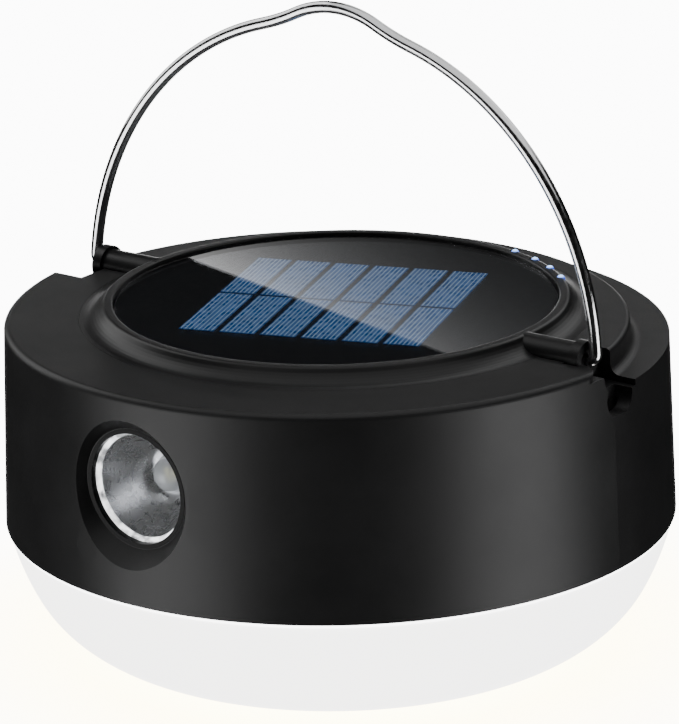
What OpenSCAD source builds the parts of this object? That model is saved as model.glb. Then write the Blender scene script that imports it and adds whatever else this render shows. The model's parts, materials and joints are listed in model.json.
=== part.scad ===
// Round solar lantern: a black shell with a solar cap and a folding wire bail on top,
// a spotlight in its side and a milky area light below.
// The origin is the centre of the diffuser's flat bottom, +Z is up and the spotlight faces -Y.

/* [Shell] */
// Outside diameter of the wall at its bottom edge
body_d = 120; // [119:0.5:122]
// Height of the wall's bottom edge, which is the depth of the area light
wall_z = 23.5; // [23.5:0.1:24]
// Height of the ledge round the cap
ledge_z = 60; // [60:0.1:60.4]
// Height of the rear shelf that the folded bail lies over
shelf_z = 55.5; // [54.5:0.1:55.8]
// Inward lean of the wall, in mm per mm of height
wall_draft = 0.036; // [0:0.002:0.05]
// Thickness of the moulded wall
wall_t = 2.4; // [1.8:0.1:2.6]

/* [Cap] */
// Radius of the seam between the cap and the ledge
seam_r = 45.5; // [45.5:0.1:46]
// Height of the cap's rim over the ledge
rim_h = 2.7; // [2.5:0.1:3.2]
// Radius of the solar laminate
panel_r = 39.2; // [38.5:0.1:39.4]
// Side of the square field of solar cells
cell_field = 44.5; // [40:0.5:50]
// Turn of the cell field about the vertical
cell_turn = 19.5; // [0:0.5:90]
// Columns of solar cells
cell_columns = 6; // [4:1:8]

/* [Bail] */
// Diameter of the bail's wire
wire_d = 2.2; // [1.8:0.1:2.2]
// Distance of each leg of the bail from the middle, at its foot
leg_x = 55.1; // [55:0.1:55.3]
// Rearward lean of the bail as it stands
bail_lean = 2; // [0:0.5:5]

/* [Spotlight] */
// Height of the spotlight's axis
spot_z = 43.2; // [42:0.1:44]
// Visible radius of the spotlight's window
spot_r = 9.7; // [9:0.1:9.8]

/* [Rear] */
// Height of the socket row, the power button and the board parts behind them
rear_z = 38.5; // [38.5:0.1:39]
// Radius of the power button
button_r = 6; // [5:0.1:6.5]

/* [Hidden] */
$fn = 96;
gap = 0.05;
body_r = body_d / 2;
inner_r = body_r - wall_draft * (ledge_z - wall_z) - wall_t;
rim_z = ledge_z + rim_h;
wire_r = wire_d / 2;
pivot_z = ledge_z;
plate_t = 2.2;
// The step behind the ledge is a circle about a point forward of the middle
step_r = 54.6;
step_y = -5;
pocket_x = 50.8;
pocket_rear = 7.3;
pocket_floor = shelf_z - 1.1;
pocket_corner = 4;
boss_r = 2.8;
flange_r = 3.4;
flange_end = 53.5;
spot_y = -56.1;
barrel_r = 10.6;
chassis_z = wall_z + 1.5;
chassis_t = 2;
chassis_r = 55;
post_r = 50;
post_angles = [20, 160, 200, 340];
seat_z = 54;
seat_t = 2;
seat_r = 35.5;
skirt_r = seam_r - 2.8;
cap_screw_r = 39.2;
cap_screw_angles = [22, 112, 202, 292];
indicator_r = 40.9;
lens_r = 0.8;
indicator_angles = [74.3, 65.5, 57.2, 48.5];
led_screw_angles = [30, 150, 270];
board_z = rear_z - 5.1;
board_t = 1.6;
board_top = board_z + board_t;
usb_a_x = 6.5;
usb_c_x = -9;
socket_mouth = 55.2;
button_angle = 126.87;
cover_from = 72.5;
cover_to = 104.5;
cover_r = 59.1;
cover_t = 2;
cover_h = 12;
cover_hinge_angle = 107;
cover_hinge_r = 58;
cell_axis_z = chassis_z + chassis_t + 11;
cell_ys = [-4.6, 14.8];
board_posts = [[-21, 43], [22, 43], [-2.7, 36.5]];
header_y = 29.4;
lead_y = header_y + 1.7;
header_h = 4;
lead_z = board_top + header_h + 0.1;
spot_back = spot_y + 15.8;
clamp_x = 9.5;
clamp_drop = 11.5;
// The bail's outline is a chain of arcs: a hump on top, a slight hollow beside it, then a shoulder
hump_r = 20;
hump_turn = 25.5;
hollow_r = 48;
hollow_turn = 9.5;
leg_slope = 5.7;
leg_length = 1;
hook_r = 1.5;
shoulder_r = (leg_x - hump_r * sin(hump_turn) - hollow_r * (sin(hump_turn) - sin(hump_turn - hollow_turn))
    - leg_length * sin(leg_slope)) / (cos(leg_slope) - sin(hump_turn - hollow_turn));

// ---- helpers ----

// Points on an arc about a centre, from one angle to another
function arc(centre, r, from, to, n = 12) =
    [for (i = [0:n]) centre + r * [cos(from + (to - from) * i / n), sin(from + (to - from) * i / n)]];

// Radius of the outside of the wall at a height
function wall_r(z) = body_r - wall_draft * (z - wall_z);

// A point of a smooth curve through four route points
function route_point(a, b, c, d, t) =
    0.5 * (2 * b + (c - a) * t + (2 * a - 5 * b + 4 * c - d) * t * t + (3 * b - a - 3 * c + d) * t * t * t);

// The route with steps points between each pair of its own points
function smooth_route(p, steps = 4) = [
    for (i = [0:len(p) - 2], s = [0:steps - 1])
        route_point(p[max(i - 1, 0)], p[i], p[i + 1], p[min(i + 2, len(p) - 1)], s / steps),
    p[len(p) - 1]
];

function unit(v) = v / norm(v);

// A solid tube swept along a route
module lead(route, r = 0.6, sides = 8) {
    p = smooth_route(route);
    n = len(p);
    rings = [
        for (i = [0:n - 1])
            let (t = unit(p[min(i + 1, n - 1)] - p[max(i - 1, 0)]))
            let (u = unit(cross(t, [0.36, 0.48, 0.8])))
            let (v = cross(t, u))
            [for (k = [0:sides - 1]) p[i] + r * (u * cos(360 * k / sides) + v * sin(360 * k / sides))]
    ];
    faces = [
        for (i = [0:n - 2], k = [0:sides - 1])
            let (a = i * sides + k, b = i * sides + (k + 1) % sides)
            each [[a, a + sides, b + sides], [a, b + sides, b]]
    ];
    start = [[for (k = [0:sides - 1]) k]];
    end = [[for (k = [sides - 1:-1:0]) (n - 1) * sides + k]];
    polyhedron([for (ring = rings) each ring], concat(faces, start, end));
}

// A cylinder along +X from x0 to x1
module rod_x(r, x0, x1) translate([x0, 0, 0]) rotate([0, 90, 0]) cylinder(r = r, h = x1 - x0);

// A cylinder along +Y from y0 to y1
module rod_y(r, y0, y1) translate([0, y0, 0]) rotate([-90, 0, 0]) cylinder(r = r, h = y1 - y0);

// A pan-head screw that points down, with its head's underside at the origin and a cross recess
module screw(r = 1.2, length = 8, head_r = 2.4, head_h = 1.5) {
    difference() {
        cylinder(r = head_r, h = head_h);
        for (a = [0, 90])
            rotate(a)
                translate([-head_r * 0.6, -0.25, head_h * 0.45])
                    cube([head_r * 1.2, 0.5, head_h]);
    }
    translate([0, 0, -length]) cylinder(r = r, h = length);
}

// Copies for the right and left sides
module both_sides() {
    children();
    mirror([1, 0, 0]) children();
}

// Copies at angles round the vertical
module around(angles) for (a = angles) rotate(a) children();

// ---- shell ----

// Solid of the wall up to a height, with a rounded top edge
module wall_body(top, edge) rotate_extrude()
    polygon(concat(
        [[0, wall_z], [wall_r(wall_z), wall_z]],
        arc([wall_r(top) - edge, top - edge], edge, 0, 90, 8),
        [[0, top]]
    ));

// Space over the rear shelf, with a concave fillet where it meets the step
module rear_shelf_space() difference() {
    translate([-70, pocket_rear, shelf_z]) cube([140, 70, 20]);
    translate([0, step_y, 0]) rotate_extrude()
        polygon(concat(
            [[0, 40], [step_r + 2, 40]],
            arc([step_r + 2, shelf_z + 2], 2, 270, 180, 8),
            arc([step_r - 0.8, ledge_z - 0.8], 0.8, 0, 90, 6),
            [[0, ledge_z]]
        ));
}

// Space inside the shell
module shell_cavity() {
    roof = shelf_z - plate_t;
    rotate_extrude()
        polygon([[0, wall_z - 1], [body_r - wall_t, wall_z - 1], [inner_r, roof], [0, roof]]);
    intersection() {
        translate([0, step_y, 40]) cylinder(r = step_r - 2.2, h = ledge_z - plate_t - 40);
        translate([0, 0, 40]) cylinder(r = inner_r, h = ledge_z - plate_t - 40);
    }
}

// Seat under the ledge that the cap's skirt stands on
module cap_seat() rotate_extrude()
    polygon([
        [seat_r, seat_z - seat_t], [seam_r - 0.3, seat_z - seat_t], [seam_r - 0.3, ledge_z - 1.8],
        [skirt_r + 0.2, ledge_z - 1.8], [skirt_r + 0.2, seat_z], [seat_r, seat_z]
    ]);

// Solid under the ledge that holds each bail pocket
module pocket_block() translate([41, -14, pocket_floor - 2]) cube([30, 26, ledge_z - pocket_floor + 1.5]);

// The pocket with its front rounded into its floor, the groove for the boss and the access slot below,
// on the right-hand side
module pocket_space(front) {
    translate([pocket_x, 0, 0]) rotate([90, 0, 90]) linear_extrude(20) polygon(concat(
        arc([pocket_corner - front, pocket_floor + pocket_corner], pocket_corner, 180, 270, 8),
        [[pocket_rear, pocket_floor], [pocket_rear, pocket_floor + 20], [-front, pocket_floor + 20]]
    ));
    translate([0, 0, pivot_z]) {
        rod_x(boss_r + 0.3, seam_r - 4, pocket_x + 1);
        rod_x(flange_r + 0.4, pocket_x, flange_end + 0.6);
    }
    for (y = [1, 3])
        translate([0, y, pocket_floor - 0.6]) rod_x(3, 55, 70);
    translate([55, 1, pocket_floor - 3.6]) cube([15, 2, 6]);
}

// What is cut off to round the ledge's corner, in plan, where it meets the pocket
module corner_cut(front, r) {
    middle = sqrt(pow(wall_r(ledge_z) - r, 2) - pow(front + r, 2));
    translate([middle, -front - r, pocket_floor + pocket_corner]) difference() {
        cube([20, r + 1, 20]);
        translate([0, 0, -1]) cylinder(r = r, h = 30);
    }
}

module housing() color([0.10, 0.10, 0.11]) difference() {
    union() {
        difference() {
            union() {
                wall_body(shelf_z, 1.3);
                difference() {
                    wall_body(ledge_z, 1.2);
                    rear_shelf_space();
                }
            }
            shell_cavity();
        }
        intersection() {
            wall_body(shelf_z, 1.3);
            union() {
                port_pad();
                button_pad();
                around(post_angles) translate([post_r, 0, chassis_z + chassis_t]) cylinder(r = 3.4, h = 28);
            }
        }
        intersection() {
            wall_body(ledge_z, 1.2);
            union() {
                cap_seat();
                both_sides() pocket_block();
                spot_frame() {
                    rod_y(barrel_r + 2, -60, -44);
                    clamp_places() rod_y(2.6, -60, spot_back);
                }
            }
        }
    }
    // opening for the cap, with a rebate for its flange and a seat for its skirt
    translate([0, 0, ledge_z - 1.8]) cylinder(r = seam_r, h = 10);
    translate([0, 0, seat_z]) cylinder(r = skirt_r + 0.2, h = 20);
    cylinder(r = seat_r, h = 80);
    // nothing stands over the shelf for the folded bail
    rear_shelf_space();
    // bail pockets: the left one reaches further forward
    pocket_space(2.6);
    corner_cut(2.6, 4);
    mirror([1, 0, 0]) pocket_space(9.6);
    // spotlight bore, its countersink and its clamp screws
    spot_frame() {
        rod_y(barrel_r, -70, -40);
        translate([0, -61.6, 0]) rotate([-90, 0, 0]) cylinder(r1 = 15.1, r2 = 10.7, h = 5);
        clamp_places() rod_y(1, -52, -30);
    }
    around(post_angles) translate([post_r, 0, chassis_z]) cylinder(r = 1, h = 12);
    around(cap_screw_angles) translate([cap_screw_r, 0, seat_z - 5]) cylinder(r = 1.3, h = 10);
    around(indicator_angles) translate([indicator_r, 0, seat_z - 5]) cylinder(r = 1.3, h = 10);
    port_space();
    button_space();
}

// Thickening of the wall behind the sockets
module port_pad() translate([-21, 52.4, rear_z - 9]) cube([42, 10, 16]);

// Recess for the port cover and the openings for both sockets
module port_space() {
    z0 = rear_z - cover_h / 2 - 0.3;
    translate([0, 0, z0]) rotate([0, 0, cover_from - 0.6])
        rotate_extrude(angle = cover_hinge_angle - cover_from + 2.35)
            translate([cover_r - cover_t - 0.3, 0]) square([4, cover_h + 0.6]);
    // room round the hinge knuckle, and the hole for its pin
    rotate(cover_hinge_angle) translate([cover_hinge_r, 0, z0]) {
        translate([0, 0, -0.1]) cylinder(r = 1.9, h = cover_h + 0.8);
        translate([0, 0, -1.5]) cylinder(r = 0.6, h = cover_h + 3.6);
    }
    translate([usb_a_x - 7.4, 40, board_top - 0.1]) cube([14.8, 20, 7.3]);
    translate([usb_c_x, 0, board_top + 1.62]) usb_c_outline(1.8, 40, 60);
}

// Solid of a USB-C outline along +Y: a slot with round ends
module usb_c_outline(r, y0, y1) {
    for (x = [-2.9, 2.9])
        translate([x, 0, 0]) rod_y(r, y0, y1);
    translate([-2.9, y0, -r]) cube([5.8, y1 - y0, 2 * r]);
}

// Frame of the power button: +X is outward along its axis
module button_frame() rotate(button_angle) translate([0, 0, rear_z]) children();

module button_pad() button_frame() rod_x(button_r + 3, 54, 58);

module button_space() button_frame() {
    rod_x(button_r + 0.3, 50, 70);
    rod_x(button_r + 1.4, 50, 56.6);
    translate([58.6, 0, 0]) rotate([0, 90, 0]) cylinder(r1 = button_r + 0.3, r2 = button_r + 2.6, h = 2);
}

// ---- cap ----

module top_cap() color([0.09, 0.09, 0.10]) {
    flank_r = 4.5;
    crest_r = 0.8;
    flank = [seam_r - 0.2, ledge_z + flank_r];
    dz = flank_r - rim_h + crest_r;
    dx = sqrt(pow(flank_r + crest_r, 2) - dz * dz);
    crest = [flank[0] - dx, rim_z - crest_r];
    lean = atan2(dz, dx);
    difference() {
        union() {
            rotate_extrude()
                polygon(concat(
                    [[36, seat_z], [skirt_r, seat_z], [skirt_r, ledge_z - 1.2]],
                    [[seam_r - gap, ledge_z - 1.2], [seam_r - gap, ledge_z]],
                    arc(flank, flank_r, 270, 180 + lean, 8),
                    arc(crest, crest_r, lean, 90, 6),
                    arc([panel_r + 0.5, rim_z - 0.3], 0.3, 90, 180, 4),
                    [[panel_r + 0.2, ledge_z - 0.9], [36, ledge_z - 0.9]]
                ));
            both_sides() translate([0, 0, pivot_z]) rod_x(boss_r, panel_r + 1.5, 51.6);
        }
        both_sides() translate([0, 0, pivot_z]) rod_x(2, 46.4, 60);
        around(indicator_angles) translate([indicator_r, 0, 50]) cylinder(r = lens_r + 0.05, h = 20);
        around(cap_screw_angles) translate([cap_screw_r, 0, 50]) cylinder(r = 1, h = 8.2);
    }
}

module cap_seal() color([0.05, 0.05, 0.05]) difference() {
    translate([0, 0, ledge_z - 1.8]) rotate_extrude() translate([seam_r - 2.3, 0]) square([1.9, 0.6]);
    both_sides() translate([0, 0, pivot_z]) rod_x(boss_r + 0.1, 40, 50);
}

module cap_screws() color("silver") around(cap_screw_angles)
    translate([cap_screw_r, 0, seat_z - seat_t]) mirror([0, 0, 1]) screw(r = 1, length = 6, head_r = 2.1);

module panel_base() color([0.03, 0.03, 0.035])
    translate([0, 0, ledge_z - 0.9]) cylinder(r = panel_r, h = 2.4);

module solar_cells() color([0.10, 0.22, 0.42]) {
    column_gap = 1;
    row_gap = 0.8;
    pitch_x = cell_field / cell_columns;
    pitch_y = cell_field / 2;
    rotate(cell_turn)
        translate([-cell_field / 2, -cell_field / 2, ledge_z + 1.5])
            for (i = [0:cell_columns - 1], j = [0:1])
                translate([i * pitch_x + column_gap / 2, j * pitch_y + row_gap / 2, 0])
                    cube([pitch_x - column_gap, pitch_y - row_gap, 0.2]);
}

module panel_cover() color([0.6, 0.7, 0.8, 0.3])
    translate([0, 0, ledge_z + 1.7]) cylinder(r = panel_r, h = 0.4);

module indicator_lenses() color([0.6, 0.75, 1.0]) around(indicator_angles) translate([indicator_r, 0, 0])
    rotate_extrude()
        polygon(concat([[0, 52.8], [lens_r, 52.8]], arc([0, rim_z + 0.25 - lens_r], lens_r, 0, 90, 6)));

module indicator_leds() color([0.9, 0.9, 0.7]) around(indicator_angles)
    translate([indicator_r - 0.8, -0.5, seat_z - seat_t]) cube([1.6, 1, 0.6]);

module indicator_board() color([0.1, 0.35, 0.2]) rotate(44) rotate_extrude(angle = 35)
    translate([38.4, seat_z - seat_t - 1]) square([5, 1]);

module bail_bushes() color([0.13, 0.13, 0.14]) both_sides() translate([0, 0, pivot_z]) difference() {
    union() {
        rod_x(2, 46.4, 51.6);
        rod_x(flange_r, 51.6, flange_end);
    }
    rod_x(wire_r + gap, 46, 60);
    rod_x(wire_r + 0.8, flange_end - 0.6, 60);
}

// ---- area light ----

module diffuser() color([0.94, 0.94, 0.92]) {
    flat_r = 36.2;
    corner = 21.7;
    side = 45.5;
    turn = 62.7;
    t = 2;
    c1 = [flat_r, corner];
    c2 = c1 + (corner - side) * [sin(turn), -cos(turn)];
    top = wall_z - 0.5;
    end = asin((top - c2[1]) / side);
    end_in = asin((20.5 - c2[1]) / (side - t));
    rotate_extrude()
        polygon(concat(
            [[0, 0]],
            arc(c1, corner, -90, turn - 90, 16),
            arc(c2, side, turn - 90, end, 8),
            [[57.3, top], [57.3, wall_z + 3.5], [55.4, wall_z + 3.5], [55.4, 20.5]],
            arc(c2, side - t, end_in, turn - 90, 8),
            arc(c1, corner - t, turn - 90, -90, 16),
            [[0, t]]
        ));
}

module diffuser_gasket() color([0.97, 0.97, 0.97]) translate([0, 0, wall_z - 0.5])
    rotate_extrude() translate([57.4, 0]) square([2.4, 0.5]);

module chassis() color([0.9, 0.9, 0.9]) difference() {
    union() {
        translate([0, 0, chassis_z]) cylinder(r = chassis_r, h = chassis_t);
        for (p = board_posts)
            translate([p[0], p[1], chassis_z]) cylinder(r = 2.4, h = board_z - chassis_z);
    }
    around(post_angles) translate([post_r, 0, 0]) cylinder(r = 1.3, h = 80);
    for (p = board_posts)
        translate([p[0], p[1], board_z - 5]) cylinder(r = 0.9, h = 20);
    around(led_screw_angles) translate([36, 0, 0]) cylinder(r = 1, h = 80);
    // way through for the area light's leads
    translate([3.5, header_y - 2.2, 0]) cylinder(r = 2.4, h = 80);
}

module chassis_screws() color("silver") around(post_angles)
    translate([post_r, 0, chassis_z]) mirror([0, 0, 1]) screw(r = 1, length = 10, head_r = 2.2, head_h = 1.4);

module led_board() color([0.85, 0.86, 0.86]) translate([0, 0, chassis_z - 1.4]) difference() {
    cylinder(r = 44, h = 1.4);
    around(led_screw_angles) translate([36, 0, -1]) cylinder(r = 1.2, h = 5);
}

module led_chips() color([0.98, 0.9, 0.6]) {
    rings = [[40.5, 24], [27, 15], [14, 8]];
    for (ring = rings, i = [0:ring[1] - 1])
        rotate((i + 0.5) * 360 / ring[1])
            translate([ring[0] - 1.4, -1.75, chassis_z - 2.1])
                cube([2.8, 3.5, 0.7]);
}

module led_board_screws() color("silver") around(led_screw_angles)
    translate([36, 0, chassis_z - 1.4]) mirror([0, 0, 1])
        screw(r = 1, length = 3.2, head_r = 2, head_h = 1.2);

// ---- power ----

module battery_cells() color([0.15, 0.35, 0.6]) for (y = cell_ys) translate([0, y, cell_axis_z]) {
    rod_x(9.2, -32.5, 31.5);
    rod_x(3, 31.5, 32.5);
}

module battery_tray() color([0.2, 0.2, 0.2]) difference() {
    translate([-36, -15.6, chassis_z + chassis_t]) cube([72, 41.4, 12]);
    translate([-33.9, -14.2, chassis_z + chassis_t + 4]) cube([67.8, 38.6, 20]);
    for (y = cell_ys) translate([0, y, cell_axis_z]) rod_x(9.4, -33.9, 33.9);
}

module battery_contacts() color([0.8, 0.8, 0.78]) for (x = [-33.2, 32.7])
    translate([x, cell_ys[0] - 4, cell_axis_z - 5]) cube([0.5, cell_ys[1] - cell_ys[0] + 8, 10]);

module main_board() color([0.08, 0.35, 0.18]) difference() {
    intersection() {
        translate([-38, header_y - 0.8, board_z]) cube([76, 26, board_t]);
        cylinder(r = 52.2, h = 80);
    }
    for (p = board_posts)
        translate([p[0], p[1], 0]) cylinder(r = 1.1, h = 80);
}

module board_screws() color("silver") for (p = board_posts)
    translate([p[0], p[1], board_top]) screw(r = 0.9, length = 5, head_r = 1.8, head_h = 1.2);

module control_chips() color([0.12, 0.12, 0.12]) translate([0, 0, board_top]) {
    translate([-16, 34, 0]) cube([6, 6, 1]);
    translate([-26, 29.6, 0]) cube([5, 4, 1.4]);
    translate([14, 35, 0]) cube([5, 4, 1.4]);
}

module charge_coil() color([0.25, 0.25, 0.27]) translate([25, 34, board_top]) {
    translate([-3.5, -3.5, 0]) cube([7, 7, 1]);
    translate([0, 0, 1]) cylinder(r = 3, h = 2.2);
}

module capacitor() color([0.1, 0.12, 0.2]) translate([-33, 33, board_top]) cylinder(r = 3.1, h = 8);

module lead_headers() color([0.95, 0.93, 0.88]) for (x = [-6, 1, 8, 32])
    translate([x, header_y, board_top]) cube([5, 3.5, header_h]);

module usb_a_socket() color("silver") translate([usb_a_x, 0, board_top]) {
    difference() {
        translate([-7.1, socket_mouth - 14, 0]) cube([14.2, 14, 7]);
        translate([-6.7, socket_mouth - 13, 0.4]) cube([13.4, 20, 6.2]);
    }
    translate([-5.6, socket_mouth - 13.5, 4.2]) cube([11.2, 12.5, 1.4]);
}

module usb_c_socket() color("silver") translate([usb_c_x, 0, board_top + 1.62]) {
    difference() {
        usb_c_outline(1.6, socket_mouth - 7.5, socket_mouth);
        usb_c_outline(1.3, socket_mouth - 6.5, socket_mouth + 5);
    }
    translate([-3.3, socket_mouth - 7, -0.35]) cube([6.6, 6, 0.7]);
}

module button_switch() color([0.2, 0.2, 0.2]) button_frame() difference() {
    translate([43, -3, board_top - rear_z]) cube([5, 6, 6.6]);
    rod_x(1.86, 45, 60);
}

// ---- spotlight ----

module spot_frame() translate([0, 0, spot_z]) children();

// Both places of the clamp's screws, in the spotlight's frame
module clamp_places() for (x = [-clamp_x, clamp_x]) translate([x, 0, -clamp_drop]) children();

module spot_bezel() color([0.05, 0.05, 0.05]) spot_frame() difference() {
    rod_y(barrel_r - gap, spot_y - 0.6, spot_y + 0.4);
    rod_y(spot_r, spot_y - 5, spot_y + 5);
}

module spot_window() color([0.9, 0.95, 1.0, 0.3])
    spot_frame() rod_y(barrel_r - 0.3, spot_y + 0.4, spot_y + 1.4);

module spot_reflector() color([0.85, 0.85, 0.87]) spot_frame() rotate([-90, 0, 0])
    translate([0, 0, spot_y + 1.4]) rotate_extrude() {
        depth = 8.4;
        throat = 3.5;
        mouth = spot_r - 0.5;
        polygon(concat(
            [for (i = [0:12]) let (d = depth * i / 12) [throat + (mouth - throat) * sqrt(1 - d / depth), d]],
            [[throat, depth + 0.4], [barrel_r - 0.3, depth + 0.4], [barrel_r - 0.3, 0]]
        ));
    }

module spot_emitter() color([0.98, 0.95, 0.75]) spot_frame() translate([0, spot_y + 10.2, 0])
    rotate([90, 0, 0]) rotate_extrude()
        polygon(concat([[0, 0], [3.3, 0], [3.3, 1.2]], arc([0, 1.2], 3.1, 0, 90, 12)));

module spot_board() color([0.9, 0.9, 0.88]) spot_frame() rod_y(barrel_r - 0.4, spot_y + 10.2, spot_y + 11.8);

module spot_heat_sink() color([0.75, 0.76, 0.78]) spot_frame() difference() {
    rod_y(barrel_r - 0.4, spot_y + 11.8, spot_back);
    for (x = [-6, -2, 2, 6])
        translate([x - 0.9, spot_y + 13.3, -20]) cube([1.8, 5, 40]);
}

module spot_clamp() color([0.12, 0.12, 0.12]) spot_frame() difference() {
    union() {
        rod_y(barrel_r + 1.6, spot_back, spot_back + 1.6);
        clamp_places() rod_y(2.6, spot_back, spot_back + 1.6);
        translate([-clamp_x, spot_back, -clamp_drop - 2.6]) cube([2 * clamp_x, 1.6, 5.2]);
    }
    rod_y(8, -50, -30);
    clamp_places() rod_y(1.2, -50, -30);
    // flat top that keeps clear of the cap's seat
    translate([-20, -50, seat_z - seat_t - spot_z - 0.5]) cube([40, 20, 20]);
}

module spot_clamp_screws() color("silver") spot_frame() clamp_places()
    translate([0, spot_back + 1.6, 0]) rotate([-90, 0, 0]) screw(r = 1, length = 8, head_r = 2, head_h = 1.3);

// ---- leads ----

module panel_leads() {
    for (pair = [[-4.7, "red"], [-2.3, "black"]])
        color(pair[1]) lead([
            [pair[0], lead_y, lead_z], [pair[0], lead_y, 43], [pair[0], 29, 50],
            [pair[0], 25, 55], [pair[0], 24, ledge_z - 1.1]
        ]);
}

module area_leads() {
    for (pair = [[2.3, "red"], [4.7, "black"]])
        color(pair[1]) lead([
            [pair[0], lead_y, lead_z], [pair[0], lead_y, 41], [pair[0], 29.2, 42.6],
            [pair[0], 27.2, 40], [pair[0], 27.2, 33], [pair[0], 27.2, chassis_z + 0.1]
        ]);
}

module battery_leads() {
    color("red") lead([
        [11.7, lead_y, lead_z], [11.7, lead_y, 42], [18, 28, 49], [27, 22, 50.4], [33, 15, 50],
        [33.3, 12, 46], [33.3, 12, 43.1]
    ]);
    color("black") lead([
        [9.3, lead_y, lead_z], [9.3, lead_y, 43], [4, 27, 49], [-20, 25.2, 50.4], [-32.6, 15.5, 50],
        [-33.3, 12, 46], [-33.3, 12, 43.1]
    ]);
}

module spot_leads() {
    color("red") lead([
        [33.3, lead_y, lead_z], [33.3, lead_y, 42], [38.5, 20, 46], [40, 5, 46], [38, -12, 46],
        [28, -26, 46], [12, -34, 45], [4, -37, 45], [4, spot_back + 0.1, 45]
    ]);
    color("black") lead([
        [35.7, lead_y, lead_z], [35.7, lead_y, 43], [41, 20, 48], [42.5, 5, 48], [40.5, -12.5, 48],
        [30, -28, 48], [12, -35, 42], [0, -37, 41], [0, spot_back + 0.1, 41]
    ]);
}

// ---- moving pieces ----

module cover_hinge_pin() color("silver") rotate(cover_hinge_angle)
    translate([cover_hinge_r, 0, rear_z - cover_h / 2 - 1.7]) cylinder(r = 0.55, h = cover_h + 3.4);

module port_cover() color([0.08, 0.08, 0.08]) translate([0, 0, rear_z - cover_h / 2]) difference() {
    union() {
        rotate(cover_from) rotate_extrude(angle = cover_to - cover_from + 1.7)
            translate([cover_r - cover_t, 0]) square([cover_t, cover_h]);
        rotate(cover_hinge_angle) translate([cover_hinge_r, 0, 0]) cylinder(r = 1.3, h = cover_h);
    }
    rotate(cover_hinge_angle) translate([cover_hinge_r, 0, -1]) cylinder(r = 0.62, h = cover_h + 2);
    // thumb notch at the free end
    rotate(cover_from) translate([cover_r + 0.6, 0, cover_h / 2]) rotate([-90, 0, 0])
        cylinder(r = 1.6, h = 2);
}

module power_button() color([0.13, 0.13, 0.14]) button_frame() {
    rotate([0, 90, 0]) rotate_extrude()
        polygon(concat(
            [[0, 55.4], [button_r + 1.1, 55.4], [button_r + 1.1, 56.3], [button_r, 56.3]],
            arc([button_r - 0.8, 58.3], 0.8, 0, 90, 6),
            [[0, 59.3]]
        ));
    rod_x(2, 49.5, 55.4);
}

module switch_plunger() color([0.3, 0.3, 0.3]) button_frame() rod_x(1.8, 46.2, 49.5);

// An arc of the wire about a centre, in the XY plane, a little short at both ends for its collars
module wire_arc(centre, r, from, turn) {
    trim = 6 / r;
    translate(centre) rotate(from + trim)
        rotate_extrude(angle = turn - 2 * trim) translate([r, 0]) circle(r = wire_r, $fn = 32);
}

// The same from its starting point and heading, turning to the right
module arc_right(from, heading, r, turn)
    wire_arc(from + r * [sin(heading), -cos(heading)], r, heading + 90 - turn, turn);

// A collar, hardly thicker than the wire, that joins two stretches of it
module wire_collar(at, heading, length = 0) translate(at) rotate(heading)
    translate([-0.4, 0, 0]) rotate([0, 90, 0]) cylinder(r = wire_r + 0.02, h = length + 0.8, $fn = 32);

function right_end(from, heading, r, turn) = from
    + r * [sin(heading) - sin(heading - turn), cos(heading - turn) - cos(heading)];

function left_end(from, heading, r, turn) = from
    + r * [sin(heading + turn) - sin(heading), cos(heading) - cos(heading + turn)];

module bail() color([0.8, 0.8, 0.8]) {
    // the chain is drawn from the apex down to the pin, so the height follows from it
    top_slope = hump_turn - hollow_turn;
    shoulder_turn = 90 - leg_slope - top_slope;
    foot = right_end([0, 0], 0, hump_r, hump_turn);
    shoulder = left_end(foot, -hump_turn, hollow_r, hollow_turn);
    knee = right_end(shoulder, -top_slope, shoulder_r, shoulder_turn);
    ankle = knee + leg_length * [sin(leg_slope), -cos(leg_slope)];
    toe = right_end(ankle, leg_slope - 90, hook_r, 90 + leg_slope);
    translate([0, 0, pivot_z]) rotate([90 - bail_lean, 0, 0]) translate([0, -toe[1], 0]) {
        arc_right([-foot[0], foot[1]], hump_turn, hump_r, 2 * hump_turn);
        both_sides() {
            wire_collar(foot, -hump_turn);
            wire_arc(
                foot + hollow_r * [sin(hump_turn), cos(hump_turn)], hollow_r, 270 - hump_turn, hollow_turn
            );
            wire_collar(shoulder, -top_slope);
            arc_right(shoulder, -top_slope, shoulder_r, shoulder_turn);
            wire_collar(knee, leg_slope - 90, leg_length);
            arc_right(ankle, leg_slope - 90, hook_r, 90 + leg_slope);
            wire_collar(toe, 180);
            translate(toe) rotate([0, -90, 0])
                translate([0, 0, 0.1]) cylinder(r = wire_r, h = toe[0] - 46.9, $fn = 32);
        }
    }
}

housing();
top_cap();
cap_seal();
cap_screws();
panel_base();
solar_cells();
panel_cover();
indicator_lenses();
indicator_leds();
indicator_board();
bail_bushes();
diffuser();
diffuser_gasket();
chassis();
chassis_screws();
led_board();
led_chips();
led_board_screws();
battery_cells();
battery_tray();
battery_contacts();
main_board();
board_screws();
control_chips();
charge_coil();
capacitor();
lead_headers();
usb_a_socket();
usb_c_socket();
button_switch();
spot_bezel();
spot_window();
spot_reflector();
spot_emitter();
spot_board();
spot_heat_sink();
spot_clamp();
spot_clamp_screws();
panel_leads();
spot_leads();
battery_leads();
area_leads();
cover_hinge_pin();
port_cover();
power_button();
switch_plunger();
bail();
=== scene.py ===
"""Solar lantern: the looks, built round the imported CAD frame. Metres, +Z up, the spotlight faces -Y."""
import json
import math

import bpy
import bmesh
from mathutils import Matrix, Vector


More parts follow.
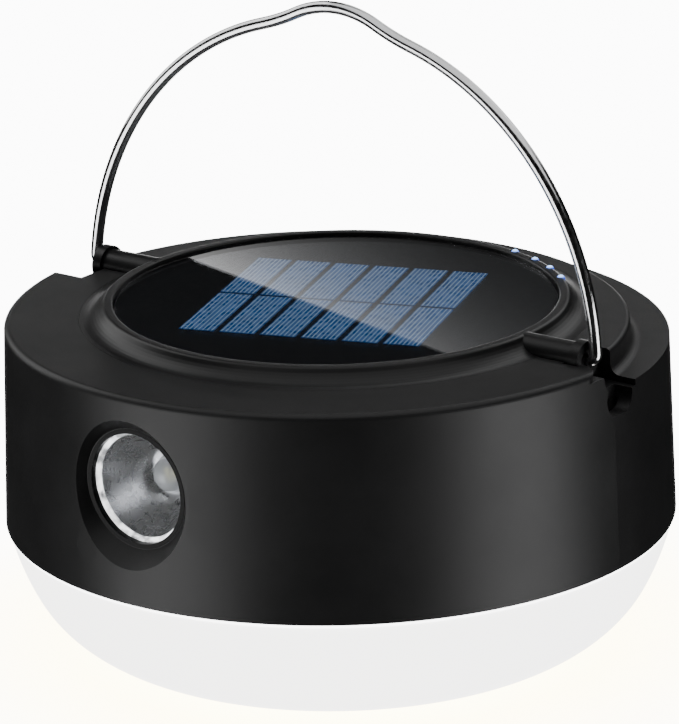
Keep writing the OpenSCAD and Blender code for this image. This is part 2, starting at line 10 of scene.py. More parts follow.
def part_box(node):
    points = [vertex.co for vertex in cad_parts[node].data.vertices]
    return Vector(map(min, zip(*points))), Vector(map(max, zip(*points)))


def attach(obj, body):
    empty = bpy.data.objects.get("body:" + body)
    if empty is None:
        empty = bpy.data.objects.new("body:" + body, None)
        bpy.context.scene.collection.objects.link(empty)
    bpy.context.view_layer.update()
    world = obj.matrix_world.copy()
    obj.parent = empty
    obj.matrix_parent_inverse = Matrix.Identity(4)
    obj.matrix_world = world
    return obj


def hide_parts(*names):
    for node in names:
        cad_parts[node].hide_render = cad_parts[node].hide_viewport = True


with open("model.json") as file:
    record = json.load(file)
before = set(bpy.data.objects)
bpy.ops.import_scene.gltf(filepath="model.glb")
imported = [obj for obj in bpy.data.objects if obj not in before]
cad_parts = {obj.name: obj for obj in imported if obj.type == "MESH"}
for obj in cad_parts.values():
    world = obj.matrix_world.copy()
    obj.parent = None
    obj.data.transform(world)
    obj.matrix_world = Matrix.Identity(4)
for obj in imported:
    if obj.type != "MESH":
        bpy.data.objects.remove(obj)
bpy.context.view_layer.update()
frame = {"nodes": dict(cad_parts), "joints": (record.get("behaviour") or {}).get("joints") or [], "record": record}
nodes = frame["nodes"]
MM = 0.001


# ---------------------------------------------------------------- shader helpers

class Nodes:
    """Short calls that add nodes to a shader tree."""

    def __init__(self, tree, coordinates):
        self.tree = tree
        self.coords = tree.nodes.new("ShaderNodeTexCoord").outputs[coordinates]

    def plug(self, value, socket):
        """Links a node's output to a socket, or gives the socket a value of its own."""
        if isinstance(value, bpy.types.NodeSocket):
            self.tree.links.new(value, socket)
        elif socket.type == "RGBA" and len(value) == 3:
            socket.default_value = (*value, 1)
        else:
            socket.default_value = value

    def node(self, kind, inputs, **settings):
        made = self.tree.nodes.new("ShaderNode" + kind)
        for key, value in settings.items():
            setattr(made, key, value)
        for key, value in inputs.items():
            self.plug(value, made.inputs[key])
        return made

    def scaled(self, scale):
        return self.node("Mapping", {"Vector": self.coords, "Scale": scale}).outputs[0]

    def noise(self, scale, detail=3.0, roughness=0.6, vector=None):
        return self.node("TexNoise", {
            "Vector": vector or self.coords, "Scale": scale, "Detail": detail, "Roughness": roughness,
        }).outputs["Fac"]

    def remap(self, value, low, high, start=0.0, end=1.0):
        """Goes from low to high while value goes from start to end."""
        return self.node("MapRange", {
            "Value": value, "From Min": start, "From Max": end, "To Min": low, "To Max": high,
        }).outputs["Result"]

    def mix(self, factor, a, b):
        return self.node("Mix", {"Factor": factor, 6: a, 7: b}, data_type="RGBA").outputs[2]

    def math(self, operation, a, b=0.0):
        return self.node("Math", {0: a, 1: b}, operation=operation).outputs[0]

    def sum_of(self, a, share_a, b, share_b):
        return self.math("ADD", self.math("MULTIPLY", a, share_a), self.math("MULTIPLY", b, share_b))

    def dot(self, direction):
        """How far the coordinates lie along a direction."""
        made = self.node("VectorMath", {0: self.coords, 1: direction}, operation="DOT_PRODUCT")
        return made.outputs["Value"]


class Mat(Nodes):
    """A Principled material with short calls to add procedural detail to it."""

    def __init__(self, name, **values):
        self.material = bpy.data.materials.new(name)
        self.material.use_nodes = True
        super().__init__(self.material.node_tree, "Object")
        self.bsdf = self.tree.nodes["Principled BSDF"]
        for key, value in values.items():
            self.set(key.replace("_", " "), value)

    def set(self, socket, value):
        self.plug(value, self.bsdf.inputs[socket])

    def vary(self, socket, value, low, high, start=0.3, end=0.7):
        """Lets a socket's number follow a texture."""
        self.set(socket, self.remap(value, low, high, start, end))

    def shades(self, socket, value, a, b, start=0.3, end=0.7):
        """Lets a socket's colour follow a texture, from a to b."""
        self.set(socket, self.mix(self.remap(value, 0, 1, start, end), a, b))

    def bump(self, height, strength, distance):
        made = self.node("Bump", {"Height": height, "Strength": strength, "Distance": distance})
        self.set("Normal", made.outputs[0])


def moulded(name, colour, rough, specular, grain=0.25):
    """Moulding: spark-eroded grain, faint flow marks and slightly polished patches."""
    m = Mat(name, Base_Color=colour, Roughness=rough, Specular_IOR_Level=specular)
    fine = m.noise(4200, 2.0, 0.55)
    broad = m.noise(46, 3.0, 0.6)
    lighter = tuple(min(1.0, c * 1.25 + 0.0006) for c in colour)
    m.shades("Base Color", broad, colour, lighter)
    m.vary("Roughness", m.sum_of(broad, 0.5, fine, 0.5), rough - 0.05, rough + 0.05, 0.35, 0.65)
    m.bump(fine, grain, 0.03 * MM)
    return m


def metal(name, colour, rough, stretch=(1, 1, 1), scratch=0.05, scale=900):
    """Bare metal with drawn or turned scratches that run where stretch is small."""
    m = Mat(name, Base_Color=colour, Metallic=1.0, Roughness=rough)
    lines = m.noise(scale, 4.0, 0.6, m.scaled(stretch))
    m.vary("Roughness", lines, max(0.02, rough - 0.05), rough + 0.09)
    m.shades("Base Color", m.noise(60, 2.0), colour, tuple(c * 0.88 for c in colour), 0.35, 0.65)
    m.bump(lines, scratch, 0.01 * MM)
    return m


def clear_cover(name, rough, swell, tint, base=0.035):
    """A thin clear sheet: see-through, slightly wavy, with the same surface reflection from both sides."""
    m = Mat(name, Roughness=rough, Base_Color=(0, 0, 0))
    bumps = m.node("Bump", {"Height": m.noise(swell, 2.0), "Strength": 0.012, "Distance": 0.05 * MM})
    wave = bumps.outputs[0]
    facing = m.node("LayerWeight", {"Blend": 0.5, "Normal": wave}).outputs["Facing"]
    fresnel = m.remap(m.math("POWER", facing, 5.0), base, 1.0)
    sheen = m.remap(m.noise(700, 3.0), rough * 0.6, rough * 1.4, 0.3, 0.7)
    gloss = m.node("BsdfGlossy", {"Color": (1, 1, 1), "Normal": wave, "Roughness": sheen})
    through = m.node("BsdfTransparent", {"Color": tint})
    mixed = m.node("MixShader", {0: fresnel, 1: through.outputs[0], 2: gloss.outputs[0]})
    m.plug(mixed.outputs[0], m.tree.nodes["Material Output"].inputs["Surface"])
    return m


# ---------------------------------------------------------------- materials

shell = moulded("shell_black", (0.0050, 0.0050, 0.0052), 0.44, 0.26)
cap = moulded("cap_black", (0.0045, 0.0045, 0.0047), 0.36, 0.22, grain=0.16)
bezel = moulded("bezel_black", (0.003, 0.003, 0.003), 0.30, 0.06, grain=0.1)
inner_plastic = moulded("inner_plastic", (0.02, 0.02, 0.022), 0.45, 0.4)
white_plastic = moulded("white_plastic", (0.72, 0.72, 0.70), 0.42, 0.4)
seal = moulded("seal_rubber", (0.012, 0.012, 0.012), 0.75, 0.3)
cover_rubber = moulded("cover_rubber", (0.010, 0.010, 0.011), 0.6, 0.3, grain=0.4)
button_plastic = moulded("button_black", (0.008, 0.008, 0.009), 0.3, 0.4, grain=0.1)
chip = moulded("chip_black", (0.012, 0.012, 0.012), 0.5, 0.4)
ferrite = moulded("ferrite", (0.03, 0.03, 0.032), 0.55, 0.4)
insulation = moulded("lead_insulation", (0.35, 0.02, 0.015), 0.4, 0.5)

# lit through by the area light
white_rubber = moulded("gasket_white", (0.80, 0.80, 0.78), 0.5, 0.4)
white_rubber.set("Emission Color", (1, 1, 1))
white_rubber.set("Emission Strength", 7.0)

screw = metal("screw_steel", (0.60, 0.60, 0.60), 0.28)
spring_steel = metal("nickel_plate", (0.66, 0.64, 0.60), 0.25)
heat_sink = metal("heat_sink", (0.68, 0.69, 0.71), 0.35, (1, 0.05, 1), 0.2)

# polished wire: mirror finish with fine lengthwise drawing lines and a few dull spots
wire = metal("polished_wire", (0.66, 0.66, 0.67), 0.15, (1, 1, 0.08), 0.015, 1800)

# aluminium board under white lacquer, so its surface isn't metallic
white_board = metal("white_board", (0.80, 0.80, 0.80), 0.4)
white_board.set("Metallic", 0.0)

# laminate under the cover: deep black, very smooth, with a faint orange-peel swell
laminate = Mat("laminate_black", Base_Color=(0.0100, 0.0100, 0.0104), Roughness=0.30, Specular_IOR_Level=0.02)
laminate.vary("Roughness", laminate.noise(900, 3.0), 0.28, 0.34)
laminate.bump(laminate.noise(260, 2.0), 0.01, 0.02 * MM)

# silicon: blue crystal with patches of shade and fine etched speckle
cell = Mat("silicon_blue", Base_Color=(0.012, 0.05, 0.12), Roughness=0.28, Specular_IOR_Level=0.3)
crystals = cell.node("TexVoronoi", {"Vector": cell.coords, "Scale": 900.0}).outputs["Color"]
speckle = cell.noise(5200, 2.0, 0.5)
tone = cell.sum_of(cell.noise(130, 4.0, 0.65), 0.88, speckle, 0.12)
cell.shades("Base Color", tone, (0.008, 0.075, 0.24), (0.020, 0.140, 0.40))
cell.vary("Roughness", crystals, 0.22, 0.36, 0.0, 1.0)
cell.bump(speckle, 0.08, 0.01 * MM)

silver = Mat("silver_print", Base_Color=(0.62, 0.68, 0.72), Roughness=0.42, Metallic=0.2,
             Specular_IOR_Level=0.3)
silver.shades("Base Color", silver.noise(1500, 2.0), (0.36, 0.50, 0.60), (0.50, 0.64, 0.74), 0.2, 0.8)
silver.bump(silver.noise(7000, 2.0), 0.08, 0.01 * MM)

cover = clear_cover("panel_gloss", 0.006, 24, (0.97, 0.98, 1.0))
window = clear_cover("spot_glass", 0.01, 90, (0.96, 0.97, 0.98), base=0.004)

# the diffuser glows with the area light behind it, a little unevenly
milky = Mat("milky_diffuser", Base_Color=(0.80, 0.80, 0.795), Roughness=0.38, Specular_IOR_Level=0.2)
cloud = milky.noise(28, 3.0, 0.5)
milky.shades("Base Color", cloud, (0.80, 0.80, 0.795), (0.83, 0.83, 0.825))
milky.vary("Roughness", milky.noise(2400, 2.0), 0.33, 0.44)
milky.bump(milky.noise(3200, 2.0), 0.12, 0.02 * MM)
milky.shades("Emission Color", cloud, (1.0, 0.985, 0.955), (1.0, 0.99, 0.97))
milky.set("Emission Strength", 4.1)

# the lenses are brightest at their tips
indicator = Mat("indicator_blue", Base_Color=(0.02, 0.05, 0.3), Roughness=0.25)
tip_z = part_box("indicator_lenses")[1].z
rise = indicator.node("SeparateXYZ", {"Vector": indicator.coords}).outputs["Z"]
glow = indicator.math("ADD", indicator.remap(rise, 0, 1, tip_z - 0.45 * MM, tip_z - 0.03 * MM),
                      indicator.remap(indicator.noise(2500, 2.0), -0.08, 0.08))
indicator.set("Emission Color", indicator.mix(glow, (0.03, 0.10, 0.80), (0.40, 0.65, 1.0)))
indicator.set("Emission Strength", indicator.remap(glow, 0.8, 3.8))

phosphor = Mat("phosphor", Base_Color=(0.75, 0.66, 0.25), Roughness=0.5)
phosphor.shades("Base Color", phosphor.noise(4000, 3.0), (0.70, 0.60, 0.18), (0.85, 0.76, 0.32))
phosphor.bump(phosphor.noise(6000, 2.0), 0.2, 0.02 * MM)

board_green = Mat("solder_mask", Base_Color=(0.01, 0.10, 0.04), Roughness=0.35)
board_green.shades("Base Color", board_green.noise(700, 4.0), (0.008, 0.085, 0.035), (0.014, 0.13, 0.055),
                   0.45, 0.55)

battery = Mat("shrink_wrap", Base_Color=(0.03, 0.12, 0.35), Roughness=0.25)
battery.shades("Base Color", battery.noise(120, 3.0), (0.025, 0.10, 0.30), (0.04, 0.15, 0.40))

# mirror of the spotlight: vacuum-coated, a little wavy
mirror = Mat("mirror_coat", Base_Color=(0.46, 0.46, 0.47), Metallic=1.0, Roughness=0.3)
mirror.vary("Roughness", mirror.noise(700, 3.0), 0.22, 0.34)
mirror.bump(mirror.noise(120, 1.0, 0.4), 0.02, 0.05 * MM)

emitter_dome = Mat("emitter_dome", Base_Color=(0.60, 0.61, 0.62), Roughness=0.12, Transmission_Weight=0.35,
                   IOR=1.45)
emitter_dome.vary("Roughness", emitter_dome.noise(1200, 2.0), 0.09, 0.16)
emitter_dome.bump(emitter_dome.noise(900, 2.0), 0.02, 0.02 * MM)

# polished edge of the spotlight's window, with a painted highlight: emission makes it glow though it is no lamp
painted_glow_edge = Mat("window_edge", Base_Color=(0.85, 0.86, 0.87), Roughness=0.18, Specular_IOR_Level=0.9)
streaks_and_glow = painted_glow_edge.noise(420, 3.0, 0.6)
painted_glow_edge.shades("Base Color", streaks_and_glow, (0.70, 0.71, 0.72), (0.95, 0.96, 0.97), 0.4, 0.6)
# painted highlight: emission, stronger along the same streaks that lighten the colour, makes the edge glow white
painted_glow_edge.set("Emission Color", (1, 1, 1))
painted_glow_edge.vary("Emission Strength", streaks_and_glow, 0.2, 2.6, 0.4, 0.6)
painted_glow_edge.vary("Roughness", streaks_and_glow, 0.10, 0.25)

SLOTS = {
    "shell": shell, "cap": cap, "seal": seal, "screw": screw, "laminate": laminate, "cell": cell,
    "clear": cover, "indicator": indicator, "phosphor": phosphor, "circuit_board": board_green,
    "milky": milky, "white_rubber": white_rubber, "white_plastic": white_plastic,
    "white_aluminium": white_board, "battery": battery, "inner_plastic": inner_plastic,
    "spring_steel": spring_steel, "chip": chip, "ferrite": ferrite, "reflector": mirror,
    "heat_sink": heat_sink, "insulation": insulation, "cover_rubber": cover_rubber,
    "button": button_plastic, "wire": wire,
}
slot_of = {part["node"]: part["material_slot"] for part in frame["record"]["subparts"]}

for name, obj in nodes.items():
    obj.data.materials.clear()
    obj.data.materials.append(SLOTS[slot_of[name]].material)
nodes["spot_bezel"].data.materials[0] = bezel.material


# ---------------------------------------------------------------- mesh helpers

def smooth(obj, angle=32):
    """Smooth shading, with an edge kept sharp where its faces meet at more than angle degrees."""
    mesh = obj.data
    mesh.shade_smooth()
    bm = bmesh.new()
    bm.from_mesh(mesh)
    limit = math.radians(angle)
    for edge in bm.edges:
        edge.smooth = len(edge.link_faces) == 2 and edge.calc_face_angle(0) < limit
    bm.to_mesh(mesh)
    bm.free()


def new_object(name, bm, mat):
    """Turns a bmesh into an object of the scene."""
    mesh = bpy.data.meshes.new(name)
    bm.to_mesh(mesh)
    bm.free()
    obj = bpy.data.objects.new(name, mesh)
    bpy.context.scene.collection.objects.link(obj)
    mesh.materials.append(mat.material)
    return obj


def add(name, bm, mat, body, replaces=(), place=None, angle=32):
    """Turns a bmesh into a piece that rides on a CAD body, and may stand in for CAD nodes."""
    bmesh.ops.recalc_face_normals(bm, faces=bm.faces[:])
    if place is not None:
        bm.transform(place)
    obj = new_object(name, bm, mat)
    smooth(obj, angle)
    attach(obj, body)
    if replaces:
        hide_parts(*replaces)


def arc(cx, cz, r, start, end, n):
    """Points of an arc in a profile plane, angles in degrees."""
    angles = [math.radians(start + (end - start) * i / n) for i in range(n + 1)]
    return [(cx + r * math.cos(a), cz + r * math.sin(a)) for a in angles]


def lathe(profile, segments, closed=False):
    """A surface of revolution about Z from (r, z) points in millimetres."""
    bm = bmesh.new()
    turns = [2 * math.pi * i / segments for i in range(segments)]
    rings = []
    for r, z in profile:
        r, z = r * MM, z * MM
        stations = [0] if r < 1e-7 else turns
        rings.append([bm.verts.new((r * math.cos(a), r * math.sin(a), z)) for a in stations])
    pairs = list(zip(rings, rings[1:]))
    if closed:
        pairs.append((rings[-1], rings[0]))
    for a, b in pairs:
        for i in range(segments):
            j = (i + 1) % segments
            if len(a) == 1:
                bm.faces.new((a[0], b[i], b[j]))
            elif len(b) == 1:
                bm.faces.new((a[i], b[0], a[j]))
            else:
                bm.faces.new((a[i], b[i], b[j], a[j]))
    return bm


def rounded_box(bm, x, y, z, bevel, segments=2):
    """Adds a box with rounded edges to bm, from a pair of limits along each axis, in millimetres."""
    part = bmesh.new()
    limits = [(low * MM, high * MM) for low, high in (x, y, z)]
    bmesh.ops.create_cube(part, size=1)
    part.transform(Matrix.Translation([(low + high) / 2 for low, high in limits])
                   @ Matrix.Diagonal([high - low for low, high in limits] + [1]))
    bmesh.ops.bevel(part, geom=part.edges[:], offset=bevel * MM, segments=segments, profile=0.6,
                    affect="EDGES")
    temp = bpy.data.meshes.new("temp")
    part.to_mesh(temp)
    part.free()
    bm.from_mesh(temp)
    bpy.data.meshes.remove(temp)


def box_mm(node):
    low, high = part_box(node)
    return [v / MM for v in low], [v / MM for v in high]


# ---------------------------------------------------------------- moulded CAD pieces

for name in ("housing", "top_cap", "bail_bushes", "port_cover", "power_button", "spot_bezel",
             "diffuser_gasket", "usb_a_socket", "usb_c_socket", "indicator_lenses", "switch_plunger",
             "chassis", "cover_hinge_pin"):
    smooth(nodes[name], 28)


# ---------------------------------------------------------------- solar panel

PANEL_TURN = 19.5      # the cells' turn about Z
FINGERS = 8            # printed lines on each cell
FINGER_HALF = 0.1      # half the width of a line
FINGER_INSET = 0.12    # from a line's end to the cell's edge


def disc(radius, bottom, top, edge, steps):
    """A round sheet with a rounded upper edge. A narrow ring inside the edge keeps the top's shading flat."""
    ring = radius - edge - 0.15
    return lathe([(0, bottom), (radius, bottom)] + arc(radius - edge, top - edge, edge, 0, 90, steps)
                 + [(ring, top), (0, top)], 256)


cover_low, cover_high = box_mm("panel_cover")
base_low, base_high = box_mm("panel_base")
panel_r = cover_high[0]
add("laminate", disc(panel_r, base_low[2], base_high[2], 0.15, 3), laminate, "lantern",
    ["panel_base"])
add("panel_gloss_sheet", disc(panel_r, cover_low[2], cover_high[2], 0.3, 5), cover, "lantern",
    ["panel_cover"])

# the grid lines of the cells are read off the CAD solid with its turn taken out
corners = [v.co.copy() for v in nodes["solar_cells"].data.vertices]
cell_top = max(c.z for c in corners) / MM
turned = Matrix.Rotation(math.radians(PANEL_TURN), 4, "Z")
upright = [Matrix.Rotation(math.radians(-PANEL_TURN), 4, "Z") @ c for c in corners]
x_lines = sorted({round(c.x / MM, 2) for c in upright})
y_lines = sorted({round(c.y / MM, 2) for c in upright})
cells = bmesh.new()
fingers = bmesh.new()
for x0, x1 in zip(x_lines[0::2], x_lines[1::2]):
    for y0, y1 in zip(y_lines[0::2], y_lines[1::2]):
        rounded_box(cells, (x0, x1), (y0, y1), (cell_top - 0.2, cell_top - 0.03), 0.05, 1)
        pitch = (x1 - x0) / FINGERS
        for i in range(FINGERS):
            middle = x0 + pitch * (i + 0.5)
            rounded_box(fingers, (middle - FINGER_HALF, middle + FINGER_HALF),
                        (y0 + FINGER_INSET, y1 - FINGER_INSET),
                        (cell_top - 0.035, cell_top - 0.005), 0.008, 1)
add("silicon_cells", cells, cell, "lantern", ["solar_cells"], turned)
add("cell_fingers", fingers, silver, "lantern", (), turned)


# ---------------------------------------------------------------- diffuser

FLAT_R = 36.2             # radius of the flat bottom
CORNER_R = 21.7           # the bottom's corner arc
SIDE_R, SIDE_TURN = 45.5, 62.7   # the side's arc, and where it takes over from the corner
BOWL_T = 2                # wall
COLLAR = (55.4, 57.3)     # inside and outside radius of the collar that enters the shell
COLLAR_FOOT = 20.5

bowl_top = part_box("diffuser_gasket")[0].z / MM
collar_top = box_mm("diffuser")[1][2]
corner_c = (FLAT_R, CORNER_R)
side_c = (corner_c[0] + (CORNER_R - SIDE_R) * math.sin(math.radians(SIDE_TURN)),
          corner_c[1] - (CORNER_R - SIDE_R) * math.cos(math.radians(SIDE_TURN)))


def side_angle(z, radius):
    """Angle on the side's arc of a radius at which it reaches a height."""
    return math.degrees(math.asin((z - side_c[1]) / radius))


outside = (arc(*corner_c, CORNER_R, -90, SIDE_TURN - 90, 24)
           + arc(*side_c, SIDE_R, SIDE_TURN - 90, side_angle(bowl_top, SIDE_R), 14)[1:])
collar = [(COLLAR[1], bowl_top), (COLLAR[1], collar_top), (COLLAR[0], collar_top), (COLLAR[0], COLLAR_FOOT)]
inside = (arc(*side_c, SIDE_R - BOWL_T, side_angle(COLLAR_FOOT, SIDE_R - BOWL_T), SIDE_TURN - 90, 10)[1:]
          + arc(*corner_c, CORNER_R - BOWL_T, SIDE_TURN - 90, -90, 16)[1:])
add("diffuser_bowl", lathe([(0, 0), (FLAT_R * 0.5, 0)] + outside + collar + inside + [(0, BOWL_T)], 256),
    milky, "lantern", ["diffuser"])


# ---------------------------------------------------------------- spotlight

OPENING = 9.7             # radius of the hole in the bezel
MOUTH, THROAT = 9.2, 3.5  # radii of the reflector's bowl
LIP = 0.45                # flat lip round the mouth
BOWL_STEPS = 32
DOME_R, DOME_FOOT_R, FOOT_T = 3.1, 3.3, 1.2
DIE_HALF, DIE_T = 0.9, 0.3

bezel_low, bezel_high = box_mm("spot_bezel")
along_y = Matrix.Rotation(math.radians(-90), 4, "X")  # turns +Z of a lathe towards +Y
spot_axis = Matrix.Translation((0, 0, (bezel_low[2] + bezel_high[2]) / 2 * MM)) @ along_y

# Profiles are (radius, y). The window comes first, then the ring round its edge, which carries a painted glow.
window_low, window_high = box_mm("spot_window")
glass_r, front, back = window_high[0], window_low[1], window_high[1]
glass = lathe([(0, front), (glass_r - 0.2, front), (glass_r, front + 0.2), (glass_r, back), (0, back)], 128)
add("spot_window_glass", glass, window, "lantern", ["spot_window"], spot_axis)
ring_front, ring_back = front + 0.2, back - 0.05
ring = lathe([(OPENING, ring_front), (OPENING - 0.3, ring_front + 0.08), (OPENING - 0.55, ring_front + 0.3),
              (OPENING - 0.7, ring_back), (OPENING, ring_back)], 160, closed=True)
add("spot_window_edge", ring, painted_glow_edge, "lantern", (), spot_axis)

# the bowl is a parabola from the mouth back to the throat
mirror_low, mirror_high = box_mm("spot_reflector")
mirror_r, mirror_front, mirror_back = mirror_high[0], mirror_low[1], mirror_high[1]
depth = mirror_back - mirror_front - 0.4
bowl = [(THROAT + (MOUTH - THROAT) * math.sqrt(1 - i / BOWL_STEPS), mirror_front + depth * i / BOWL_STEPS)
        for i in range(BOWL_STEPS + 1)]
reflector = lathe([(MOUTH + LIP, mirror_front)] + bowl
                  + [(THROAT, mirror_back), (mirror_r, mirror_back), (mirror_r, mirror_front)],
                  160, closed=True)
add("reflector_bowl", reflector, mirror, "lantern", ["spot_reflector"], spot_axis)

foot_back = box_mm("spot_emitter")[1][1]
foot_front = foot_back - FOOT_T
dome = lathe([(0, foot_back), (DOME_FOOT_R, foot_back), (DOME_FOOT_R, foot_front)]
             + [(r, foot_front - rise) for r, rise in arc(0, 0, DOME_R, 0, 90, 14)], 96)
add("emitter_lens", dome, emitter_dome, "lantern", ["spot_emitter"], spot_axis)
die = bmesh.new()
rounded_box(die, (-DIE_HALF, DIE_HALF), (-DIE_HALF, DIE_HALF), (foot_front - DIE_T, foot_front), 0.06)
add("emitter_die", die, phosphor, "lantern", (), spot_axis)


# ---------------------------------------------------------------- bail

WIRE_R = 1.1
WIRE_CHAMFER = 0.12
BAIL_LEAN = -2            # degrees about the hinge at rest
LEG_X = 55.1              # from the middle to a leg at its foot
HUMP_R, HUMP_TURN = 20.0, 25.5
HOLLOW_R, HOLLOW_TURN = 48.0, 9.5
LEG_SLOPE, LEG_LENGTH = 5.7, 1.0
HOOK_R = 1.5
FOOT_XS = (51.0, 49.0, 47.2, 46.85)  # stations along the foot, the last one in its bush


def bail_path():
    """Centreline of the bail in its own plane, in millimetres: across, and height over the pivot."""
    sin = [math.sin(math.radians(a)) for a in (HUMP_TURN, HUMP_TURN - HOLLOW_TURN, LEG_SLOPE)]
    cos_slope = math.cos(math.radians(LEG_SLOPE))
    shoulder_r = ((LEG_X - HUMP_R * sin[0] - HOLLOW_R * (sin[0] - sin[1]) - LEG_LENGTH * sin[2])
                  / (cos_slope - sin[1]))
    at, heading, points = Vector((0, 0)), 0.0, [Vector((0, 0))]

    def turn_by(radius, turn, n):
        nonlocal at, heading
        bend = 1 if turn > 0 else -1
        start = math.radians(heading)
        centre = at + bend * radius * Vector((math.sin(start), -math.cos(start)))
        for i in range(1, n + 1):
            a = math.radians(heading - turn * i / n)
            points.append(centre + bend * radius * Vector((-math.sin(a), math.cos(a))))
        at, heading = points[-1], heading - turn

    turn_by(HUMP_R, HUMP_TURN, 14)
    turn_by(HOLLOW_R, -HOLLOW_TURN, 8)
    turn_by(shoulder_r, 90 - LEG_SLOPE - HUMP_TURN + HOLLOW_TURN, 40)
    at = at + LEG_LENGTH * Vector((math.cos(math.radians(heading)), math.sin(math.radians(heading))))
    points.append(at)
    turn_by(HOOK_R, 90 + LEG_SLOPE, 16)
    points.extend(Vector((x, at.y)) for x in FOOT_XS)
    half = [Vector((p.x, p.y - at.y)) for p in points]
    return [Vector((-p.x, p.y)) for p in reversed(half)] + half[1:]


def tube(path, radius, chamfer, sides=24):
    """A round wire along a plane path in XZ, with a small chamfer at both ends."""
    bm = bmesh.new()
    rings = []
    last = len(path) - 1
    angles = [2 * math.pi * k / sides for k in range(sides)]
    for i, p in enumerate(path):
        along = (path[min(i + 1, last)] - path[max(i - 1, 0)]).normalized()
        across = Vector((-along.y, along.x))
        r = radius - (chamfer if i in (0, last) else 0)
        rings.append([bm.verts.new(((p.x + across.x * r * math.cos(a)) * MM, r * math.sin(a) * MM,
                                    (p.y + across.y * r * math.cos(a)) * MM)) for a in angles])
    for a, b in zip(rings, rings[1:]):
        for k in range(sides):
            bm.faces.new((a[k], a[(k + 1) % sides], b[(k + 1) % sides], b[k]))
    bm.faces.new(rings[0])
    bm.faces.new(rings[-1])
    return bm


hinge = next(joint for joint in frame["joints"] if joint["child"] == "bail")
leaning = Matrix.Translation(hinge["pos_m"]) @ Matrix.Rotation(math.radians(BAIL_LEAN), 4, "X")
add("bail_wire", tube(bail_path(), WIRE_R, WIRE_CHAMFER), wire, "bail", ["bail"], leaning, 50)


# ---------------------------------------------------------------- camera

# the camera looks from the photograph's side: azimuth and elevation in degrees, distance in metres, roll
AZIMUTH, ELEVATION, DISTANCE, ROLL = 37.5, 19.82, 0.7924, 1.407
SENSOR_MM, LENS_MM = 36, 219.5602
SHIFT_X, SHIFT_Y = -0.0019751, 0.1956906   # in widths of the sensor

az, el = math.radians(AZIMUTH), math.radians(ELEVATION)
look = Vector((-math.sin(az), math.cos(az), 0))    # level, away from the camera
side = Vector((math.cos(az), math.sin(az), 0))     # level, to the camera's right
to_camera = Vector((math.sin(az) * math.cos(el), -math.cos(az) * math.cos(el), math.sin(el)))
target = Vector((0, 0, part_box("housing")[0].z))
camera_data = bpy.data.cameras.new("camera")
camera_data.sensor_width = SENSOR_MM
camera_data.lens = LENS_MM
camera_data.shift_x = SHIFT_X
camera_data.shift_y = SHIFT_Y
camera_data.clip_start = 0.01
camera = bpy.data.objects.new("camera", camera_data)
camera.matrix_world = (Matrix.Translation(target + to_camera * DISTANCE)
                       @ to_camera.to_track_quat("Z", "Y").to_matrix().to_4x4()
                       @ Matrix.Rotation(math.radians(-ROLL), 4, "Z"))
bpy.context.scene.collection.objects.link(camera)
bpy.context.scene.camera = camera


# ---------------------------------------------------------------- stage

# a pale floor lit from below like a light table, with a painted pool of the lantern's warm light just round the
# lantern
FLOOR_HALF = 3.0
GLOW_FROM, GLOW_TO = 0.050, 0.088

floor_mat = Mat("floor_pale", Base_Color=(0.80, 0.80, 0.80), Roughness=0.9, Specular_IOR_Level=0.0)
floor_mat.shades("Base Color", floor_mat.noise(6, 3.0), (0.79, 0.79, 0.79), (0.82, 0.82, 0.82))
distance = floor_mat.node("VectorMath", {0: floor_mat.coords}, operation="LENGTH").outputs["Value"]
# painted light: from GLOW_FROM to GLOW_TO out from the middle the floor's emission turns warm, standing in for the
# lantern's light on the floor
floor_mat.shades("Emission Color", distance, (1.0, 0.86, 0.44), (1, 1, 1), GLOW_FROM, GLOW_TO)
floor_mat.set("Emission Strength", 11.0)
bm = bmesh.new()
bmesh.ops.create_grid(bm, x_segments=8, y_segments=8, size=FLOOR_HALF)
floor = new_object("floor", bm, floor_mat)
# gloss and shade show the soft studio surround instead of it
floor.visible_glossy = False
floor.visible_diffuse = False
floor.visible_shadow = False

# the white card behind, whose slanting top edge shows in the panel: corners are (across, height)
CARD_BEHIND = 0.9
CARD_CORNERS = [(-0.16, 0.20), (0.45, 0.20), (0.45, 0.533), (-0.16, 0.279)]
# along its slanting edge, EDGE_X * across + EDGE_Z * height is EDGE_OFFSET
EDGE_X, EDGE_Z, EDGE_OFFSET = -0.384, 0.923, 0.319
# its light falls off below that edge and towards the right, per metre, from a level given as a logarithm
FALL_BELOW, FALL_RIGHT, LEVEL = 50.0, 15.3, -0.53

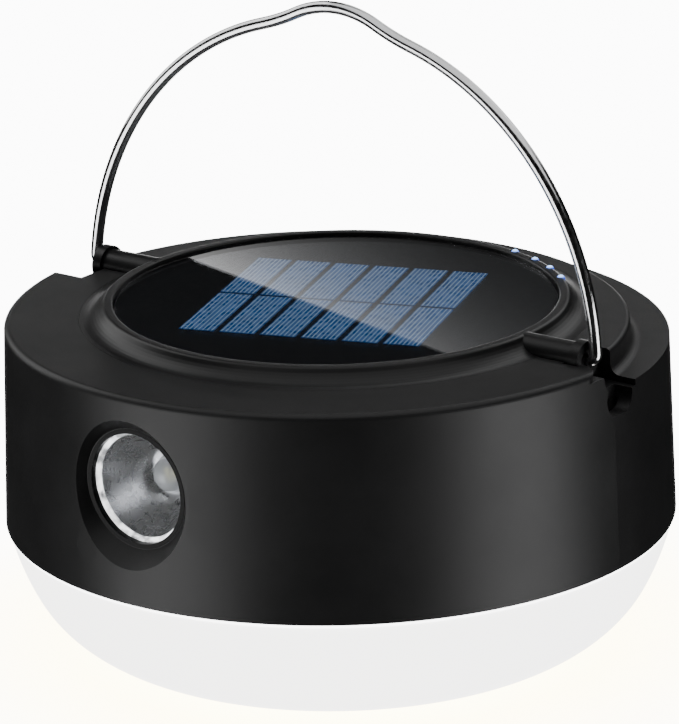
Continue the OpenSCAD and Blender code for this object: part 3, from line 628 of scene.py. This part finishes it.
card_mat = Mat("card_grey", Base_Color=(0.02, 0.02, 0.02), Roughness=0.9, Specular_IOR_Level=0.0)
fall = side * (FALL_BELOW * EDGE_X - FALL_RIGHT) + Vector((0, 0, FALL_BELOW * EDGE_Z))
power = card_mat.math("ADD", card_mat.dot(fall), LEVEL - FALL_BELOW * EDGE_OFFSET)
card_mat.set("Emission Color", (1, 1, 1))
card_mat.set("Emission Strength", card_mat.math("EXPONENT", power))
bm = bmesh.new()
bm.faces.new([bm.verts.new(side * x + look * CARD_BEHIND + Vector((0, 0, z))) for x, z in CARD_CORNERS])
card = new_object("card", bm, card_mat)
card.visible_camera = False
card.visible_shadow = False


# ---------------------------------------------------------------- lights

# the surround is dim, a little brighter from the camera's side and below the horizon
world = bpy.data.worlds.new("studio")
bpy.context.scene.world = world
world.use_nodes = True
air = Nodes(world.node_tree, "Generated")
frontal = air.remap(air.dot(-look), 0.075, 0.16, -0.4, 1.0)
shade = air.remap(air.dot(Vector((0, 0, 1))), 1.0, 0.5, -0.05, 0.12)
air.plug(air.math("MULTIPLY", frontal, shade), world.node_tree.nodes["Background"].inputs["Strength"])


def softbox(name, across, along, height, size_x, size_y, watts):
    """A rectangular light aimed at the lantern, placed across and along the camera's line, in metres."""
    data = bpy.data.lights.new(name, "AREA")
    data.shape = "RECTANGLE"
    data.size, data.size_y = size_x, size_y
    data.energy = watts
    lamp = bpy.data.objects.new(name, data)
    lamp.location = side * across + look * along + Vector((0, 0, height))
    lamp.rotation_euler = (lamp.location - Vector((0, 0, 0.04))).to_track_quat("Z", "Y").to_euler()
    bpy.context.scene.collection.objects.link(lamp)


softbox("top", 0.0, -0.15, 1.3, 2.4, 1.7, 17)
softbox("left", -0.70, 0.53, 0.51, 0.7, 0.9, 4.2)
softbox("back", 0.55, 0.85, 1.00, 1.4, 0.45, 3.2)
softbox("left_strip", -0.78, -0.45, -0.28, 0.64, 0.9, 9.5)
softbox("right_strip", 0.78, -0.45, -0.28, 0.64, 0.9, 9.5)
softbox("right_near", 0.32, 0.42, 0.33, 0.3, 0.3, 0.35)
softbox("back_strip", 0.0, 0.90, -0.28, 0.5, 0.9, 6)
